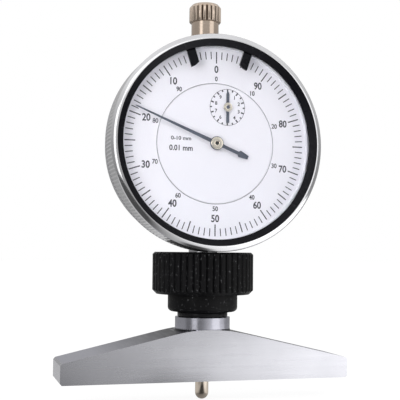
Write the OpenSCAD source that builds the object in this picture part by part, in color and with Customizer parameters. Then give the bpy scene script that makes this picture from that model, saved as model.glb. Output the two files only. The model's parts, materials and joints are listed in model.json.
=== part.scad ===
// Dial depth gauge: a round dial indicator clamped by its stem in a wide flat base.
// Millimetres, +Z up. The origin lies on the spindle axis in the plane of the measuring face.
// The dial looks along -Y. Depths on the dial are counted towards the viewer from the stem axis.

/* [Base] */
// Length of the measuring face
base_length = 80; // [70:1:120]
// Width of the base from front to back
base_width = 16; // [16:0.5:24]
// Height of the base at its two ends
base_end_height = 5.5; // [4:0.25:8]
// Slope of the two shoulders in degrees
shoulder_slope = 13.1; // [10:0.1:16]
// Half length of the rounded crown between the shoulders
crown_half = 10; // [9:0.5:12]
// Diameter of the round boss on the crown
boss_d = 15.2; // [14.5:0.1:15.9]
// Height of the boss above the crown
boss_rise = 3.1; // [2.6:0.1:6]
// Radius of the fillet at the foot of the boss
boss_fillet = 1; // [0.6:0.1:1.5]
// Diameter of the hole that the contact point passes through
base_bore_d = 5.4; // [5:0.1:6.5]
// Chamfer on the ends and edges of the base
base_chamfer = 0.5; // [0.2:0.1:1]

/* [Clamp] */
// Diameter of the neck's shank in the base
neck_shank_d = 11; // [10.8:0.1:12]
// Depth of the shank below the top of the boss
neck_depth = 9.7; // [8:0.1:11]
// Diameter of the neck's thread
neck_thread_d = 12.6; // [12:0.1:13.4]
// Height of the neck above the boss
neck_rise = 10.3; // [8:0.1:12]
// Outer diameter of the black seal ring under the nut
seal_ring_d = 13.9; // [13.4:0.1:15]
// Height of the seal ring
seal_ring_h = 1.4; // [1:0.1:2]
// Outer diameter of the split sleeve that grips the stem
sleeve_d = 9.7; // [9.3:0.1:10]
// Length of the sleeve's gripping cone
sleeve_cone_h = 2.4; // [1.8:0.1:2.8]
// Width of each slit in the sleeve
sleeve_slit = 0.8; // [0.5:0.1:1.2]
// Diameter of the nut over its knurl
nut_d = 28; // [24:0.5:32]
// Height of the nut's knurled part
nut_knurl_h = 11.5; // [9:0.1:14]
// Diameter of the nut's plain collar
nut_collar_d = 19.3; // [17:0.1:22]
// Height of the nut's plain collar
nut_collar_h = 4.8; // [3:0.1:6]
// Number of ridges round the nut
nut_ridges = 48; // [30:1:60]
// Depth of the grooves between the nut's ridges
nut_groove = 0.55; // [0.2:0.05:0.9]
// Gap between the nut's top and the bezel
bezel_nut_gap = 0.1; // [0.1:0.05:2]

/* [Stem and spindle] */
// Diameter of the clamping stem
stem_d = 8; // [7.6:0.1:8.2]
// Diameter of the spindle
spindle_d = 4; // [3.8:0.05:4.2]
// Travel of the spindle
travel = 10; // [8:0.5:10]
// How far the contact point stands below the measuring face
contact_reach = 5.8; // [3:0.1:8]
// Diameter of the contact point
contact_d = 3.7; // [3.4:0.1:4.6]
// Length of the contact point
contact_length = 8.5; // [7:0.5:11]
// Diameter of the lifting cap over its knurl
cap_d = 8.9; // [8.2:0.1:11]
// Diameter of the lifting cap's plain skirt
cap_skirt_d = 7.7; // [7.2:0.1:8]
// Height of the cap's knurled head
cap_head_h = 5.3; // [4:0.1:7]
// Height of the cap's skirt
cap_skirt_h = 7; // [5:0.1:9]
// Number of ridges round the lifting cap
cap_ridges = 20; // [14:1:26]

/* [Case] */
// Wall of the case
case_wall = 1.6; // [1.2:0.1:2]
// Depth of the case behind the stem axis
case_rear = 6.8; // [6:0.1:9]
// Depth of the case's front face before the stem axis
case_front = 8.6; // [8.2:0.1:9]
// Thickness of the case's front wall
case_front_wall = 2; // [1.6:0.1:2.2]
// Thickness of the back cover
cover_t = 1.5; // [1:0.1:2.5]
// Radius of the ring of back cover screws
cover_screw_r = 24; // [23.6:0.1:24.4]

/* [Bezel and dial] */
// Outer diameter of the bezel
bezel_d = 58; // [56:0.5:60]
// Wall of the bezel round the case
bezel_wall = 1.74; // [1.4:0.02:2.2]
// Depth of the bezel's rear edge before the stem axis
bezel_rear = 5.2; // [3.6:0.1:5.2]
// Depth of the bezel's front edge before the stem axis
bezel_front = 15.9; // [15.5:0.1:17]
// Depth of the dial's printed face before the stem axis
dial_face = 11.2; // [11:0.1:11.4]
// Thickness of the dial plates
dial_t = 0.8; // [0.5:0.1:0.9]
// Radius of the seam between the fixed centre and the turning scale
dial_seam_r = 16.15; // [15:0.05:18]
// Thickness of the crystal
crystal_t = 0.85; // [0.6:0.05:0.9]
// Inner radius of the black trim ring
trim_inner_r = 25.75; // [25.5:0.05:26.1]
// Angle of each tolerance mark from the top of the dial in degrees
mark_angle = 18; // [10:1:60]
// Width of a tolerance mark
mark_w = 2.3; // [1.5:0.1:3]
// Radius that a tolerance mark reaches inwards
mark_inner_r = 21; // [19:0.25:23]

/* [Hands] */
// Length of the main pointer from its axis to its tip
pointer_length = 24.1; // [20:0.1:24.5]
// Length of the main pointer's tail
pointer_tail = 9.5; // [6:0.1:12]
// Angle of the main pointer, anticlockwise from the top in degrees
pointer_angle = 67.7; // [0:0.1:360]
// Length of the counter hand
counter_hand_length = 4.6; // [3:0.1:5]
// Diameter of the main pointer's hub
pointer_hub_d = 3.3; // [2.4:0.1:4]

/* [Movement] */
// Teeth of the pinion that the rack drives
rack_pinion_teeth = 16; // [16]
// Teeth of each of the two large wheels
wheel_teeth = 100; // [100]
// Teeth of the centre pinion that carries the main pointer
centre_pinion_teeth = 10; // [10]
// Tooth size of the wheels and the centre pinion
wheel_module = 0.19; // [0.185:0.001:0.192]
// Sideways distance from the dial's centre to each wheel's arbor
wheel_offset_x = 3.2; // [3.2:0.05:3.4]
// Thickness of the large wheels
wheel_t = 0.6; // [0.4:0.05:0.7]
// Thickness of the movement plate
plate_t = 0.8; // [0.6:0.05:0.9]
// Radius of the movement plate
plate_r = 21; // [20:0.1:21.3]
// Radius of the arbors
arbor_r = 0.5; // [0.4:0.05:0.6]
// Number of turns in the return spring
spring_turns = 14; // [8:1:18]
// Wire diameter of the return spring
spring_wire_d = 0.4; // [0.3:0.05:0.45]
// Mean diameter of the return spring
spring_mean_d = 2.6; // [2:0.1:3]

/* [Fits] */
// Radial clearance of a sliding or turning fit
run_fit = 0.03; // [0.02:0.005:0.05]
// Radial clearance of the bezel on the case
bezel_fit = 0.06; // [0.04:0.01:0.08]
// Gap where two faces lie together without being fixed
seat_gap = 0.05; // [0.03:0.01:0.1]

/* [Hidden] */
$fn = 96;
eps = 0.01;
// How far a cut starts outside the face that it goes into
over = 1;

// Base and clamp heights
tangent_z = base_end_height + (base_length / 2 - crown_half) * tan(shoulder_slope);
crown_r = crown_half / sin(shoulder_slope);
crown_z = tangent_z + crown_half * tan(shoulder_slope / 2);
// The shoulders run a little past the tangent line, so that they meet the crown at a clean edge
land_run = 0.5;
land_x = crown_half - land_run;
land_z = tangent_z + land_run * tan(shoulder_slope);
boss_z = crown_z + boss_rise;
boss_r = boss_d / 2;
fillet_r = boss_r + boss_fillet;
fillet_foot_z = crown_z - crown_r + sqrt(crown_r * crown_r - fillet_r * fillet_r) - 0.1;
neck_z = boss_z - neck_depth;
neck_top = boss_z + neck_rise;
neck_web = 1.5;
neck_mouth = 1;
seal_seat_r = neck_thread_d / 2 - 0.65;
sleeve_r = sleeve_d / 2;
sleeve_z = neck_z + neck_web + seat_gap;
sleeve_head_r = sleeve_r + neck_mouth;
sleeve_head_h = 0.65;
sleeve_root_h = 4.5;
sleeve_cone_z = neck_top + seat_gap + sleeve_head_h;
sleeve_top = sleeve_cone_z + sleeve_cone_h;
sleeve_tip_r = sleeve_r + 0.1;
slit_count = 4;
nut_z = boss_z + seal_ring_h + 2 * seat_gap;
nut_knurl_z = nut_z + nut_collar_h;
nut_top = nut_knurl_z + nut_knurl_h;
nut_bore_r = neck_thread_d / 2 + bezel_fit;
nut_mouth_r = stem_d / 2 + 0.35;
nut_foot_round = 1.2;
nut_lower_chamfer = 1.1;
nut_upper_chamfer = 0.6;

// Indicator heights
bezel_r = bezel_d / 2;
dial_z = nut_top + bezel_nut_gap + bezel_r;
case_r = bezel_r - bezel_wall - bezel_fit;
case_inner_r = case_r - case_wall;
case_top = dial_z + case_r;
case_bottom = dial_z - case_r;
stem_r = stem_d / 2;
stem_z = boss_z - seat_gap;
stem_top = dial_z - case_inner_r + 1;
stem_bore_r = spindle_d / 2 + 0.3;
stem_bush_r = 3;
stem_bush_h = 8;
spindle_r = spindle_d / 2;
spindle_bore_r = spindle_r + run_fit;
contact_z = -contact_reach;
spindle_z = contact_z + contact_length;
spot_face_z = case_top - 0.4;
bush_r = 3;
bush_flange_r = 4.2;
bush_flange_h = 1.4;
bush_nose_h = 5.6;
spot_face_room = 0.2;
bush_top = spot_face_z + bush_flange_h + bush_nose_h;
bush_bottom = dial_z + case_inner_r - 3;
cap_z = spot_face_z + bush_flange_h + 4 * seat_gap;
cap_head_z = cap_z + cap_skirt_h;
cap_top = cap_head_z + cap_head_h;
cap_bore_h = cap_skirt_h - 0.2;
cap_socket_h = 3;
cap_chamfer = 1;
spindle_top = cap_z + cap_bore_h + cap_socket_h;
contact_shank_r = 1.2;
contact_shank_h = 5;

// Depths on the dial
dial_rear = dial_face - dial_t;
wall_rear = case_front - case_front_wall;
case_edge = 1.1;
case_edge_h = 2;
crystal_rear = 12.9;
crystal_front = crystal_rear + crystal_t;
bezel_inner_r = case_r + bezel_fit;
dial_seat_r = trim_inner_r + 0.4;
dial_plate_r = dial_seat_r - seat_gap;
crystal_seat_r = trim_inner_r + 1.2;
trim_outer_r = bezel_r - 1.53;
bezel_bevel = 1;
bezel_rear_edge = 0.8;
trim_lip = crystal_front + 0.64;
trim_lip_t = 0.4;
mark_foot_depth = crystal_front + 0.08;
mark_foot_t = 0.5;
mark_foot_half = 4.5;
mark_t = 0.85;
wire_r = 0.35;
wire_depth = bezel_rear + 1.9;
wire_ring_r = case_r - 0.12;
wire_gap_angle = 12;
boss_seat_r = dial_seam_r - 0.6;
cover_screw_shank_r = 0.85;
cover_screw_end = -2.6;
cover_hole_end = -2;

// Wheels
rack_pitch = travel / rack_pinion_teeth;
rack_module = rack_pitch / PI;
rack_pinion_r = rack_pitch * rack_pinion_teeth / (2 * PI);
wheel_pitch_r = wheel_module * wheel_teeth / 2;
centre_distance = wheel_module * (wheel_teeth + centre_pinion_teeth) / 2;
wheel_offset_z = sqrt(centre_distance * centre_distance - wheel_offset_x * wheel_offset_x);
mesh_angle = atan2(wheel_offset_z, wheel_offset_x);
rack_line_x = -wheel_offset_x + rack_pinion_r;
addendum = 0.85;
dedendum = 1.15;
backlash = 0.1;
flank = 20;
plate_depth = spindle_r + 0.4;
plate_front = plate_depth + plate_t;
plate_half_w = 17;
wheel_depth = plate_front + 0.6;
pinion_half = 1.2;
rack_low = -wheel_offset_z - travel - 2;
rack_high = -wheel_offset_z + 2;
pillar_spots = [[13, -4], [-13, 4], [8, -18.5], [-8, 18.5]];
pillar_r = 1.6;
screw_r = 0.7;
screw_head_r = 1.5;
screw_head_h = 0.8;
rack_at = [-wheel_offset_x, -wheel_offset_z];
counter_at = [wheel_offset_x, wheel_offset_z];
rack_hub_r = 1.2;
counter_hub_r = 1.1;
hub_foot = 0.4;
// How far pivots and plate screws reach into the case's front wall, and the room past their ends
wall_reach = 1.2;
pivot_room = 0.1;
screw_room = 0.2;

// Guide and return spring
guide_r = 0.8;
guide_z = 2;
guide_x = 9.8;
guide_rail_x = 4.4;
guide_rail_w = 2.6;
guide_rail_low = guide_z - 3;
guide_rail_high = guide_z + travel + 3;
guide_rail_mid = guide_rail_x + guide_rail_w / 2;
guide_rail_pins = [guide_rail_low + 1, guide_rail_high - 1];
cock_foot_at = [-guide_rail_x - 4, -wheel_offset_z];
spring_x = 9;
spring_low = -16;
spring_start = spring_low + guide_r + seat_gap;
spring_end = guide_z - guide_r - seat_gap;
spring_pitch = (spring_end - spring_start - 2 * spring_wire_d) / spring_turns;

// ---- helpers ----

// Puts children on the dial: X to the right, Y up the dial, Z towards the viewer.
module on_dial() {
    translate([0, 0, dial_z]) rotate([90, 0, 0]) children();
}

// Round plate or rod on the dial's depth axis, from depth a to depth b
module rod(r, a, b, at = [0, 0]) {
    translate([at[0], at[1], a]) cylinder(r = r, h = b - a);
}

// Flat ring on the dial's depth axis
module band(r_out, r_in, a, b, at = [0, 0]) {
    difference() {
        rod(r_out, a, b, at);
        rod(r_in, a - 1, b + 1, at);
    }
}

// Upright tube on the spindle axis
module tube(r_out, r_in, a, b) {
    difference() {
        translate([0, 0, a]) cylinder(r = r_out, h = b - a);
        translate([0, 0, a - 1]) cylinder(r = r_in, h = b - a + 2);
    }
}

function polar(r, angle) = [r * cos(angle), r * sin(angle)];

// Outline of a gear with straight flanks, one tooth centred on the X axis
function gear_outline(teeth, size) = [
    for (i = [0 : teeth - 1])
        let (
            step = 360 / teeth,
            pitch_r = size * teeth / 2,
            tip_r = pitch_r + addendum * size,
            root_r = pitch_r - dedendum * size,
            half = PI * size * (1 - backlash) / 4,
            tip_half = half - addendum * size * tan(flank),
            root_half = half + dedendum * size * tan(flank) * 0.6,
            tip_turn = asin(tip_half / tip_r),
            root_turn = asin(root_half / root_r)
        )
        each [
            polar(root_r, i * step - root_turn),
            polar(tip_r, i * step - tip_turn),
            polar(tip_r, i * step + tip_turn),
            polar(root_r, i * step + root_turn)
        ]
];

// Outline of a round knurl with flat-topped ridges
function knurl_outline(r, ridges, groove) = [
    for (i = [0 : ridges - 1])
        let (step = 360 / ridges, a = i * step)
        each [
            polar(r, a - step * 0.3),
            polar(r, a + step * 0.3),
            polar(r - groove, a + step * 0.42),
            polar(r - groove, a + step * 0.58)
        ]
];

module gear(teeth, size, turn, a, b) {
    translate([0, 0, a]) rotate([0, 0, turn])
        linear_extrude(height = b - a) polygon(gear_outline(teeth, size));
}

// ---- base and clamp ----

module shoulder_profile() {
    half = base_length / 2;
    c = base_chamfer;
    polygon([
        [-half + c, 0], [half - c, 0], [half, c], [half, base_end_height - c],
        [half - c, base_end_height + c * tan(shoulder_slope)],
        [land_x, land_z], [-land_x, land_z],
        [-half + c, base_end_height + c * tan(shoulder_slope)],
        [-half, base_end_height - c], [-half, c]
    ]);
}

module crown_profile() {
    intersection() {
        translate([0, crown_z - crown_r]) circle(r = crown_r, $fn = 180);
        translate([eps - land_x, land_z - 1]) square([2 * (land_x - eps), boss_z]);
    }
}

module base_wings() {
    translate([0, base_width / 2, 0]) rotate([90, 0, 0])
        linear_extrude(height = base_width) union() {
            shoulder_profile();
            crown_profile();
        }
}

module boss_fillet_ring() {
    intersection() {
        rotate_extrude() difference() {
            translate([0, fillet_foot_z - 1]) square([fillet_r, boss_fillet + 1]);
            translate([fillet_r, fillet_foot_z + boss_fillet]) circle(r = boss_fillet);
        }
        translate([-base_length / 2, -base_width / 2, 0])
            cube([base_length, base_width, boss_z]);
    }
}

module base() {
    color([0.70, 0.71, 0.74]) difference() {
        union() {
            base_wings();
            boss_fillet_ring();
            translate([0, 0, tangent_z - 1])
                cylinder(r = boss_r, h = boss_z - tangent_z + 1);
        }
        translate([0, 0, neck_z]) cylinder(d = neck_shank_d, h = boss_z);
        translate([0, 0, -1]) cylinder(d = base_bore_d, h = boss_z);
    }
}

module clamp_neck() {
    color([0.45, 0.46, 0.49]) difference() {
        union() {
            translate([0, 0, neck_z]) cylinder(d = neck_shank_d, h = neck_depth);
            translate([0, 0, boss_z]) cylinder(r = seal_seat_r, h = neck_rise);
            translate([0, 0, boss_z + seal_ring_h + 2 * seat_gap])
                cylinder(d = neck_thread_d, h = neck_rise - seal_ring_h - 2 * seat_gap);
        }
        translate([0, 0, neck_z - 1]) cylinder(d = base_bore_d, h = neck_depth);
        translate([0, 0, neck_z + neck_web])
            cylinder(r = sleeve_r + run_fit, h = neck_depth + neck_rise);
        translate([0, 0, neck_top - neck_mouth])
            cylinder(r1 = sleeve_r + run_fit, r2 = sleeve_r + run_fit + neck_mouth + eps,
                h = neck_mouth + eps);
    }
}

module seal_ring() {
    color([0.05, 0.05, 0.06]) rotate_extrude() {
        outer = seal_ring_d / 2;
        inner = seal_seat_r + run_fit;
        low = boss_z + seat_gap;
        high = low + seal_ring_h;
        c = 0.3;
        polygon([[inner, low], [outer - c, low], [outer, low + c],
            [outer, high - c], [outer - c, high], [inner, high]]);
    }
}

module split_sleeve() {
    grip_r = stem_r + run_fit;
    color([0.62, 0.60, 0.52]) difference() {
        union() {
            translate([0, 0, sleeve_z]) cylinder(r = sleeve_r, h = neck_top - sleeve_z);
            translate([0, 0, neck_top - neck_mouth + 2 * seat_gap])
                cylinder(r1 = sleeve_r, r2 = sleeve_head_r, h = neck_mouth);
            translate([0, 0, neck_top + 2 * seat_gap])
                cylinder(r = sleeve_head_r, h = sleeve_cone_z - neck_top - 2 * seat_gap);
            translate([0, 0, sleeve_cone_z])
                cylinder(r1 = sleeve_head_r, r2 = sleeve_tip_r, h = sleeve_cone_h);
        }
        translate([0, 0, sleeve_z - 1])
            cylinder(r = grip_r, h = sleeve_top - sleeve_z + 2);
        for (i = [0 : slit_count - 1]) rotate([0, 0, 45 + i * 360 / slit_count])
            translate([0, -sleeve_slit / 2, sleeve_z + sleeve_root_h])
                cube([sleeve_head_r + 1, sleeve_slit, sleeve_top]);
    }
}

module nut_body() {
    r = nut_d / 2;
    collar = nut_collar_d / 2;
    f = nut_foot_round;
    lower = nut_lower_chamfer;
    upper = nut_upper_chamfer;
    rotate_extrude() {
        translate([0, nut_z + f]) square([collar, nut_collar_h - f + 1]);
        translate([0, nut_z]) square([collar - f, nut_collar_h]);
        translate([collar - f, nut_z + f]) circle(r = f);
        polygon([[0, nut_knurl_z], [r - lower, nut_knurl_z], [r, nut_knurl_z + lower],
            [r, nut_top - upper], [r - upper, nut_top], [0, nut_top]]);
    }
}

module nut_knurl() {
    translate([0, 0, nut_knurl_z - eps]) linear_extrude(height = nut_knurl_h + 2 * eps)
        polygon(knurl_outline(nut_d / 2 + eps, nut_ridges, nut_groove));
    translate([0, 0, nut_z - 1])
        cylinder(r = nut_collar_d / 2 + eps, h = nut_collar_h + 1 + eps);
}

module clamp_nut() {
    cone_z = sleeve_cone_z + 3 * seat_gap;
    color([0.09, 0.09, 0.10]) difference() {
        intersection() {
            nut_body();
            nut_knurl();
        }
        translate([0, 0, nut_z - 1]) cylinder(r = nut_bore_r, h = cone_z - nut_z + 1);
        translate([0, 0, cone_z - eps])
            cylinder(r1 = sleeve_head_r + 2 * run_fit, r2 = sleeve_tip_r + 2 * run_fit,
                h = sleeve_cone_h + eps);
        translate([0, 0, nut_z]) cylinder(r = nut_mouth_r, h = nut_top);
        translate([0, 0, cone_z + sleeve_cone_h - eps])
            cylinder(r = sleeve_tip_r + 2 * run_fit, h = 0.3);
    }
}

// ---- stem, spindle and cap ----

module stem() {
    color([0.75, 0.76, 0.79]) difference() {
        tube(stem_r, stem_bore_r, stem_z, stem_top);
        translate([0, 0, stem_z - 1]) cylinder(r = stem_bush_r, h = stem_bush_h + 1);
    }
}

module stem_bush() {
    color([0.80, 0.66, 0.36])
        tube(stem_bush_r, spindle_bore_r, stem_z, stem_z + stem_bush_h);
}

module upper_bush() {
    color([0.78, 0.70, 0.55]) difference() {
        union() {
            translate([0, 0, bush_bottom]) cylinder(r = bush_r, h = bush_top - bush_bottom);
            translate([0, 0, spot_face_z]) cylinder(r = bush_flange_r, h = bush_flange_h);
        }
        translate([0, 0, bush_bottom - over])
            cylinder(r = spindle_bore_r, h = bush_top - bush_bottom + 2 * over);
    }
}

// Space that is cut away in front of the rack, with its teeth left standing
function rack_space() = let (
        tip_x = rack_line_x - addendum * rack_module,
        root_x = rack_line_x + dedendum * rack_module,
        half = rack_pitch * (1 - backlash) / 4,
        tip_half = half - addendum * rack_module * tan(flank),
        root_half = half + dedendum * rack_module * tan(flank),
        count = floor((rack_high - rack_low) / rack_pitch),
        first = -wheel_offset_z - rack_pitch * floor((-wheel_offset_z - rack_low) / rack_pitch)
    ) concat(
        [[-spindle_d, rack_low], [root_x, rack_low]],
        [for (i = [0 : count - 1]) let (z = first + i * rack_pitch)
            if (z - root_half > rack_low && z + root_half < rack_high)
            each [[root_x, z - root_half], [tip_x, z - tip_half],
                [tip_x, z + tip_half], [root_x, z + root_half]]],
        [[root_x, rack_high], [-spindle_d, rack_high]]
    );

module spindle() {
    color([0.78, 0.79, 0.81]) difference() {
        translate([0, 0, spindle_z]) cylinder(r = spindle_r, h = spindle_top - spindle_z);
        translate([0, spindle_d, dial_z]) rotate([90, 0, 0])
            linear_extrude(height = 2 * spindle_d) polygon(rack_space());
        translate([0, 0, spindle_z - 1])
            cylinder(r = contact_shank_r, h = contact_shank_h + 1 + seat_gap);
        translate([spindle_r / 2, 0, dial_z + guide_z]) rotate([0, 90, 0])
            cylinder(r = guide_r, h = spindle_d);
    }
}

module contact_point() {
    r = contact_d / 2;
    color([0.80, 0.77, 0.72]) {
        translate([0, 0, contact_z + r]) sphere(r = r);
        translate([0, 0, contact_z + r]) cylinder(r = r, h = contact_length - r);
        translate([0, 0, spindle_z - eps]) cylinder(r = contact_shank_r, h = contact_shank_h);
    }
}

module lifting_cap() {
    r = cap_d / 2;
    groove = 0.45;
    foot = 0.35;
    color([0.72, 0.64, 0.55]) difference() {
        union() {
            translate([0, 0, cap_z]) cylinder(d = cap_skirt_d, h = cap_skirt_h + 1);
            intersection() {
                rotate_extrude() polygon([[0, cap_head_z], [r - foot, cap_head_z],
                    [r, cap_head_z + foot], [r, cap_top - cap_chamfer],
                    [r - cap_chamfer * 0.8, cap_top - 0.1], [r - cap_chamfer, cap_top],
                    [0, cap_top]]);
                translate([0, 0, cap_head_z - 1]) linear_extrude(height = cap_head_h + 2)
                    polygon(knurl_outline(r + eps, cap_ridges, groove));
            }
        }
        translate([0, 0, cap_z - 1]) cylinder(r = bush_r + 0.15, h = cap_bore_h + 1);
        translate([0, 0, cap_z]) cylinder(r = spindle_r, h = cap_bore_h + cap_socket_h);
    }
}

module guide_pin() {
    color([0.72, 0.73, 0.75]) translate([spindle_r / 2, 0, dial_z + guide_z])
        rotate([0, 90, 0]) cylinder(r = guide_r, h = guide_x - spindle_r / 2);
}

// ---- case ----

module cover_screw_spots() {
    for (a = [45 : 90 : 315]) translate(polar(cover_screw_r, a)) children();
}

module case_body() {
    screw_boss_r = 2.2;
    color([0.66, 0.67, 0.70]) difference() {
        on_dial() difference() {
            union() {
                rotate_extrude() polygon([[case_inner_r, -case_rear],
                    [case_r - case_edge, -case_rear], [case_r, case_edge_h - case_rear],
                    [case_r, case_front], [case_inner_r, case_front]]);
                rod(case_inner_r + eps, wall_rear, case_front);
                rod(boss_seat_r, case_front - eps, dial_rear);
                cover_screw_spots() rod(screw_boss_r, -case_rear, wall_rear + eps);
            }
            cover_screw_spots() rod(cover_screw_shank_r, -case_rear - over, cover_hole_end);
            rod(arbor_r + run_fit, 0, dial_face + over);
            rod(arbor_r + run_fit, 0, dial_face + over, counter_at);
            rod(arbor_r + run_fit, 0, wall_rear + wall_reach + pivot_room, rack_at);
            for (p = pillar_spots) rod(screw_r, 0, wall_rear + wall_reach + screw_room, p);
            rotate_extrude() translate([wire_ring_r, wire_depth]) circle(r = wire_r + 0.08);
        }
        translate([0, 0, case_bottom - over]) cylinder(r = stem_r, h = case_inner_r);
        translate([0, 0, dial_z]) cylinder(r = bush_r, h = case_r + over);
        translate([0, 0, spot_face_z]) cylinder(r = bush_flange_r + spot_face_room, h = case_r);
    }
}

module back_cover() {
    rim = 0.5;
    outer = case_r - case_edge - 0.1;
    color([0.66, 0.67, 0.70]) on_dial() difference() {
        rotate_extrude() polygon([[0, -case_rear - cover_t], [outer - rim, -case_rear - cover_t],
            [outer, -case_rear - cover_t + rim], [outer, -case_rear], [0, -case_rear]]);
        cover_screw_spots() rod(cover_screw_shank_r + screw_room, -case_rear - cover_t - over, 0);
    }
}

module cover_screws() {
    head_r = 1.9;
    head_h = 0.9;
    slot_w = 0.5;
    slot_h = 0.45;
    low = -case_rear - cover_t - head_h;
    color([0.60, 0.61, 0.64]) on_dial() difference() {
        cover_screw_spots() {
            rod(cover_screw_shank_r, low + 0.1, cover_screw_end);
            rod(head_r, low, -case_rear - cover_t);
        }
        cover_screw_spots() translate([-head_r - over, -slot_w / 2, low - over])
            cube([2 * (head_r + over), slot_w, over + slot_h]);
    }
}

// ---- movement ----

module movement_plate() {
    color([0.80, 0.68, 0.40]) on_dial() difference() {
        intersection() {
            rod(plate_r, plate_depth, plate_front);
            translate([-plate_half_w, -plate_r, 0])
                cube([2 * plate_half_w, 2 * plate_r, dial_face]);
        }
        for (p = [[0, 0], rack_at, counter_at]) rod(arbor_r + run_fit, 0, dial_face, p);
        for (p = pillar_spots) rod(screw_r + run_fit, 0, dial_face, p);
        for (z = guide_rail_pins) rod(guide_r, 0, dial_face, [guide_rail_mid, z]);
        rod(guide_r, 0, dial_face, [spring_x, spring_low]);
        rod(guide_r, 0, dial_face, cock_foot_at);
    }
}

module pillars() {
    color([0.80, 0.68, 0.40]) on_dial() for (p = pillar_spots)
        band(pillar_r, screw_r + run_fit, plate_front, wall_rear, p);
}

module plate_screws() {
    slot_w = 0.4;
    slot_h = 0.4;
    head_depth = plate_depth - screw_head_h;
    color([0.35, 0.40, 0.55]) on_dial() for (p = pillar_spots) difference() {
        union() {
            rod(screw_r, plate_depth - eps, wall_rear + wall_reach, p);
            rod(screw_head_r, head_depth, plate_depth, p);
        }
        translate([p[0] - screw_head_r - over, p[1] - slot_w / 2, head_depth - over])
            cube([2 * (screw_head_r + over), slot_w, over + slot_h]);
    }
}

module rear_cock() {
    arm_depth = -pinion_half - 1.8;
    arm_t = 0.8;
    arm_half = 1.2;
    end_r = 1.5;
    foot = cock_foot_at;
    color([0.80, 0.68, 0.40]) on_dial() difference() {
        union() {
            rod(end_r, arm_depth, plate_depth, foot);
            rod(guide_r, plate_depth - eps, plate_front, foot);
            rod(end_r, arm_depth, arm_depth + arm_t, rack_at);
            translate([foot[0], foot[1] - arm_half, arm_depth])
                cube([rack_at[0] - foot[0], 2 * arm_half, arm_t]);
        }
        rod(arbor_r + run_fit, arm_depth - over, 0, rack_at);
    }
}

module rack_arbor() {
    color([0.70, 0.71, 0.74]) on_dial() translate(rack_at) {
        rod(arbor_r, -pinion_half - 1.7, wall_rear + wall_reach);
        rod(rack_hub_r, wheel_depth - hub_foot, wheel_depth + wheel_t + 0.5);
        gear(rack_pinion_teeth, rack_module, 180 / rack_pinion_teeth, -pinion_half, pinion_half);
    }
}

// Large wheel with round windows, pressed on a hub of the given radius
module large_wheel(hub_r) {
    window_r = 2.3;
    window_ring_r = wheel_pitch_r * 0.58;
    difference() {
        gear(wheel_teeth, wheel_module, mesh_angle, wheel_depth, wheel_depth + wheel_t);
        rod(hub_r, 0, dial_face);
        for (i = [0 : 4]) rod(window_r, 0, dial_face, polar(window_ring_r, i * 72 + 90));
    }
}

module rack_wheel() {
    color([0.83, 0.69, 0.38]) on_dial() translate(rack_at) large_wheel(rack_hub_r);
}

module centre_pinion() {
    color([0.70, 0.71, 0.74]) on_dial() {
        rod(arbor_r, plate_depth + 0.1, dial_face + 1.3);
        gear(centre_pinion_teeth, wheel_module, mesh_angle + 180 / centre_pinion_teeth,
            wheel_depth - 0.3, wheel_depth + wheel_t + 0.8);
    }
}

module counter_arbor() {
    color([0.70, 0.71, 0.74]) on_dial() translate(counter_at) {
        rod(arbor_r, plate_depth + 0.1, dial_face + 0.6);
        rod(counter_hub_r, wheel_depth - hub_foot, wheel_depth + wheel_t + 1);
    }
}

module counter_wheel() {
    color([0.83, 0.69, 0.38]) on_dial() translate(counter_at) large_wheel(counter_hub_r);
}

// Flat spiral of thin strip, pinned to a stud on the case wall at its outer end
module hairspring() {
    inner = 1.4;
    outer = 6.2;
    turns = 4;
    steps = 20;
    half = 0.06;
    stud_r = 0.5;
    low = wheel_depth + wheel_t + 0.25;
    high = low + 0.6;
    last = turns * steps;
    function spot(i, side) = polar(inner + (outer - inner) * i / last + side, 360 * i / steps);
    color([0.30, 0.34, 0.55]) on_dial() translate(counter_at) {
        translate([0, 0, low]) linear_extrude(height = high - low) polygon(concat(
            [for (i = [0 : last]) spot(i, half)],
            [for (i = [last : -1 : 0]) spot(i, -half)]));
        rod(stud_r, low, wall_rear, [outer, 0]);
    }
}

// ---- guide and return spring ----

module guide_rail() {
    color([0.72, 0.73, 0.75]) on_dial() difference() {
        union() {
            translate([guide_rail_x, guide_rail_low, -spindle_r])
                cube([guide_rail_w, guide_rail_high - guide_rail_low, spindle_r + plate_depth]);
            for (z = guide_rail_pins)
                rod(guide_r, plate_depth - eps, plate_front, [guide_rail_mid, z]);
        }
        slot = guide_r + run_fit;
        translate([guide_rail_x - over, guide_z, -slot])
            cube([guide_rail_w + 2 * over, travel, 2 * slot]);
        for (z = [guide_z, guide_z + travel])
            translate([guide_rail_x - over, z, 0]) rotate([0, 90, 0])
                cylinder(r = slot, h = guide_rail_w + 2 * over);
    }
}

module spring_post() {
    reach = 1.6;
    color([0.72, 0.73, 0.75]) on_dial() rod(guide_r, -reach, plate_front, [spring_x, spring_low]);
}

// Points along the return spring, from its lower end to its upper end
coil_steps = 8;
coil_last = spring_turns * coil_steps;
function coil_point(i) = [
    spring_x + spring_mean_d / 2 * cos(360 * i / coil_steps),
    spring_mean_d / 2 * sin(360 * i / coil_steps),
    dial_z + spring_start + spring_wire_d + spring_pitch * i / coil_steps
];
coil_sides = 6;
// Ring of wire corners round point i; the coil's radial direction and +Z span the ring
function coil_ring(i) = [for (k = [0 : coil_sides - 1])
    let (a = 360 * i / coil_steps, t = 360 * k / coil_sides, r = spring_wire_d / 2)
    coil_point(i) + [r * cos(t) * cos(a), r * cos(t) * sin(a), r * sin(t)]];

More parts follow.
